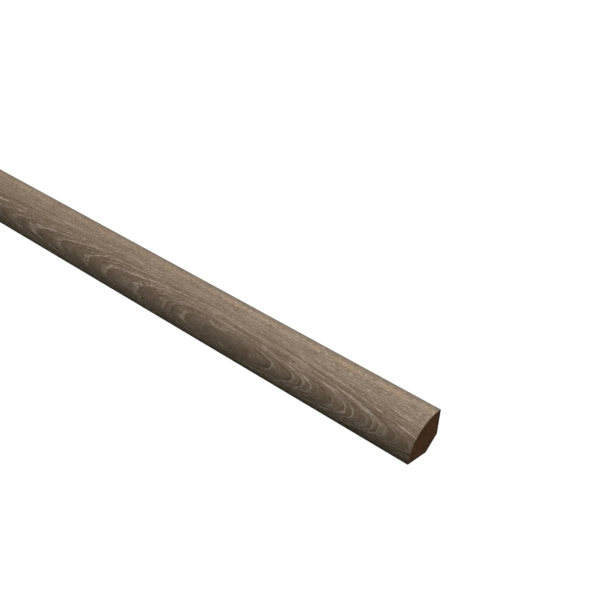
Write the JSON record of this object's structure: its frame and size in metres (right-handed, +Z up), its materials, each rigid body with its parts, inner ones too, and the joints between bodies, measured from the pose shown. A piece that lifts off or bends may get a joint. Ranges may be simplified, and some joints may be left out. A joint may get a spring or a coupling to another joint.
{
  "type": "quarter round moulding",
  "caption": "Straight length of oak-faced quarter round floor trim with a convex face, two flat faces at a right angle and a chamfered heel, for covering the joint between floor and wall.",
  "frame": {"origin": "centre of the bounding box's bottom, on the floor face, halfway along the stock", "axes": "+X along the stock, +Y square out of the wall face, +Z up out of the floor, so the round face looks towards -Y and +Z"},
  "size_m": [1.9812, 0.019, 0.019],
  "materials": {
    "oak": "grey-brown brushed oak with pale limed pores, matt; bare brown core on the sawn ends and the hidden back"
  },
  "bodies": {
    "root": {"quarter_round_moulding": "oak"}
  },
  "joints": []
}
